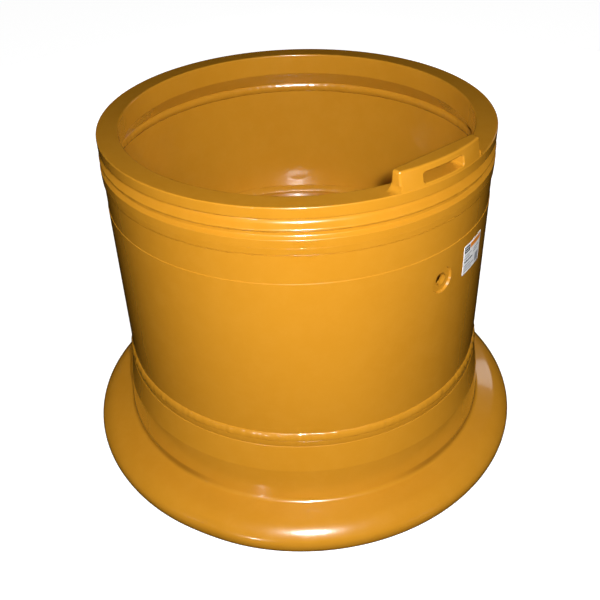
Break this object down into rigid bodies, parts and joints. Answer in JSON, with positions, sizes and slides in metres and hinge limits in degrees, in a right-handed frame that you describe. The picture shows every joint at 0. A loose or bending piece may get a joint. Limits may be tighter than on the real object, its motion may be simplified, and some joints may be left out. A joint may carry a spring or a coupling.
{
  "type": "earthmover wheel rim base",
  "caption": "Painted steel rim base for an earthmover wheel: lock-ring gutter, welded disc with stud holes, bead seat and curled back flange.",
  "frame": {"origin": "on the floor at the centre of the back flange, on the wheel's axis", "axes": "+Z along the wheel's axis from the back flange to the gutter lip; -Y towards the viewer, with the driver lug about 40 degrees to the right of it"},
  "size_m": [0.7686, 0.7686, 0.609],
  "materials": {
    "paint": "glossy yellow-ochre enamel",
    "paint_machined": "glossy yellow-ochre enamel over a machined surface",
    "paint_weld": "glossy yellow-ochre enamel over rippled weld beads",
    "label": "white printed film"
  },
  "bodies": {
    "root": {"gutter_ring": "paint", "gutter_weld_outer": "paint_machined", "gutter_weld_inner": "paint_weld", "centre_band": "paint", "disc": "paint", "disc_weld_upper": "paint_weld", "disc_weld_lower": "paint_weld", "band_weld_outer": "paint_weld", "band_weld_inner": "paint_weld", "back_section": "paint", "driver_lug": "paint", "driver_lug_weld": "paint_weld", "label": "label"}
  },
  "joints": []
}
